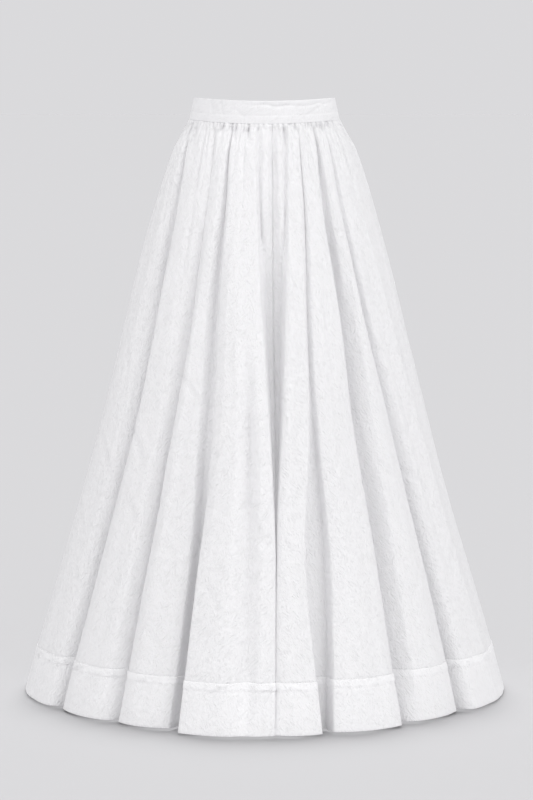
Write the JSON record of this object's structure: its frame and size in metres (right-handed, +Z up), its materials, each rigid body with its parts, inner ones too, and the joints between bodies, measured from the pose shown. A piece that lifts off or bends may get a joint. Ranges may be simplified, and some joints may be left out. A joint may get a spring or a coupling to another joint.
{
  "type": "lehenga skirt",
  "caption": "Long gathered and flared cotton skirt on a narrow waistband, with a deep doubled hem band; hollow, filled out as worn.",
  "frame": {"origin": "centre of the wearer's waist, halfway up the waistband", "axes": "+Z up the body, -Y towards the front, +X towards the wearer's left"},
  "size_m": [0.8392, 0.8667, 1.0172],
  "materials": {
    "waistband_cotton": "matt white cotton, doubled and pressed",
    "panel_cotton": "matt white cotton, one layer, finely crinkled",
    "hem_cotton": "matt white cotton, doubled, finely crinkled"
  },
  "bodies": {
    "root": {"waistband": "waistband_cotton", "panel_front_left": "panel_cotton", "panel_front_right": "panel_cotton", "panel_back_left": "panel_cotton", "panel_back_right": "panel_cotton", "hem_front_left": "hem_cotton", "hem_front_right": "hem_cotton", "hem_back_left": "hem_cotton", "hem_back_right": "hem_cotton"}
  },
  "joints": []
}
